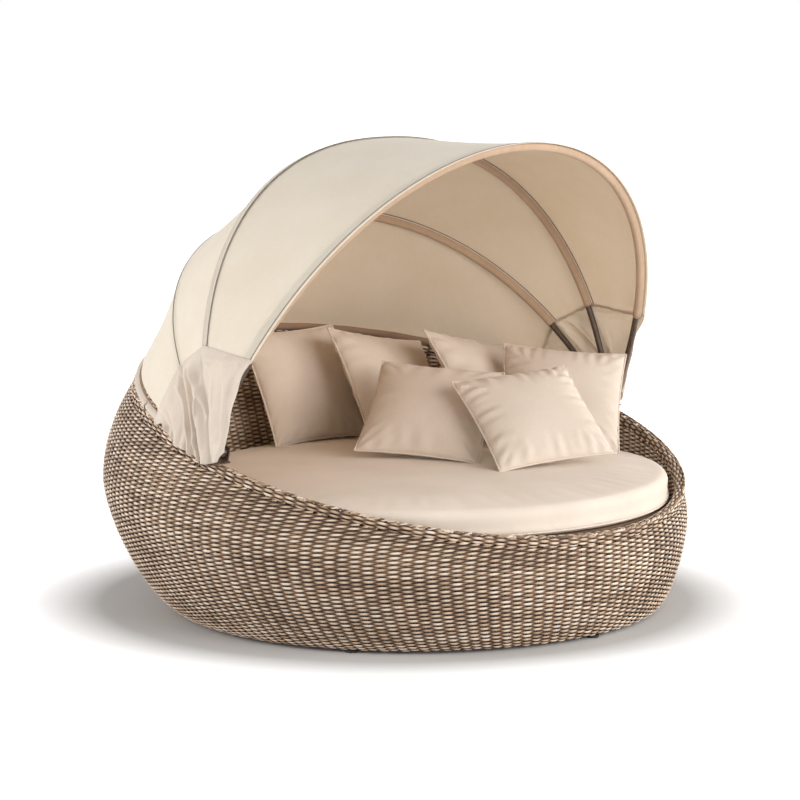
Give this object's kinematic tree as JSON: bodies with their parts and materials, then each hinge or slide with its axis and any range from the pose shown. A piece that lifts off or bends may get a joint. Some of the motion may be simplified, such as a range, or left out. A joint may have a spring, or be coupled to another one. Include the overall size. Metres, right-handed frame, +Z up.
{
  "type": "outdoor daybed with canopy",
  "caption": "Round woven daybed with a raised back rim, round seat cushion, loose scatter cushions and a fabric canopy on hinged bows that folds back over the rim.",
  "frame": {"origin": "on the floor under the middle of the widest ring of the bowl", "axes": "+Z up, -Y towards the open front where people get in, +X to the sitter's left"},
  "size_m": [1.86, 1.8324, 1.468],
  "materials": {
    "wicker": "woven flat polyethylene strands, mixed grey-brown and beige",
    "frame_tube": "brown powder coat",
    "bow_tube": "brown powder coat",
    "glide_plastic": "moulded",
    "deck_board": "stained plywood",
    "cushion_cloth": "woven outdoor canvas, beige, with piping",
    "canopy_cloth": "woven outdoor polyester, cream",
    "hinge_steel": "stainless"
  },
  "bodies": {
    "base": {"base_ring": "frame_tube", "belly_ring": "frame_tube", "rim_ring": "frame_tube", "seat_ring": "frame_tube", "rib_1": "frame_tube", "rib_2": "frame_tube", "rib_3": "frame_tube", "rib_4": "frame_tube", "rib_5": "frame_tube", "rib_6": "frame_tube", "rib_7": "frame_tube", "rib_8": "frame_tube", "seat_leg_1": "frame_tube", "seat_leg_2": "frame_tube", "seat_leg_3": "frame_tube", "seat_leg_4": "frame_tube", "deck_beam_front": "frame_tube", "deck_beam_rear": "frame_tube", "floor_glide_1": "glide_plastic", "floor_glide_2": "glide_plastic", "floor_glide_3": "glide_plastic", "floor_glide_4": "glide_plastic", "floor_glide_5": "glide_plastic", "floor_glide_6": "glide_plastic", "wicker_outer_wall": "wicker", "wicker_inner_wall": "wicker", "wicker_rim_braid": "wicker", "seat_deck": "deck_board", "seat_cushion": "cushion_cloth", "scatter_cushion_1": "cushion_cloth", "scatter_cushion_2": "cushion_cloth", "scatter_cushion_3": "cushion_cloth", "scatter_cushion_4": "cushion_cloth", "scatter_cushion_5": "cushion_cloth", "scatter_cushion_6": "cushion_cloth", "rear_bow": "bow_tube", "canopy_rear_panel": "canopy_cloth", "hinge_flap_left_rear": "canopy_cloth", "hinge_flap_right_rear": "canopy_cloth", "tie_strap_right": "canopy_cloth", "tie_strap_back": "canopy_cloth", "tie_strap_left": "canopy_cloth", "hinge_bracket_left": "hinge_steel", "pivot_bolt_left": "hinge_steel", "pivot_nut_left": "hinge_steel", "hinge_bracket_right": "hinge_steel", "pivot_bolt_right": "hinge_steel", "pivot_nut_right": "hinge_steel"},
    "third_bow": {"third_bow": "bow_tube", "canopy_middle_panel": "canopy_cloth", "hinge_flap_left_middle": "canopy_cloth", "hinge_flap_right_middle": "canopy_cloth"},
    "second_bow": {"second_bow": "bow_tube", "canopy_front_panel": "canopy_cloth", "hinge_flap_left_front": "canopy_cloth", "hinge_flap_right_front": "canopy_cloth"},
    "front_bow": {"front_bow": "bow_tube"}
  },
  "joints": [
    {"name": "third_bow_fold", "type": "hinge", "parent": "base", "child": "third_bow", "pos_m": [0, -0.127, 0.578], "axis": [-1, 0, 0], "range_deg": [0, 24.9], "deforming": ["canopy_rear_panel", "hinge_flap_left_rear", "hinge_flap_right_rear"]},
    {"name": "second_bow_fold", "type": "hinge", "parent": "third_bow", "child": "second_bow", "pos_m": [0, -0.127, 0.578], "axis": [-1, 0, 0], "range_deg": [0, 23.6], "deforming": ["canopy_middle_panel", "hinge_flap_left_middle", "hinge_flap_right_middle"]},
    {"name": "front_bow_fold", "type": "hinge", "parent": "second_bow", "child": "front_bow", "pos_m": [0, -0.127, 0.578], "axis": [-1, 0, 0], "range_deg": [0, 31.9], "deforming": ["canopy_front_panel", "hinge_flap_left_front", "hinge_flap_right_front"]}
  ],
  "couplings": [
    {"joint": "second_bow_fold", "follows": "third_bow_fold", "ratio": 0.9478},
    {"joint": "front_bow_fold", "follows": "third_bow_fold", "ratio": 1.2811}
  ]
}
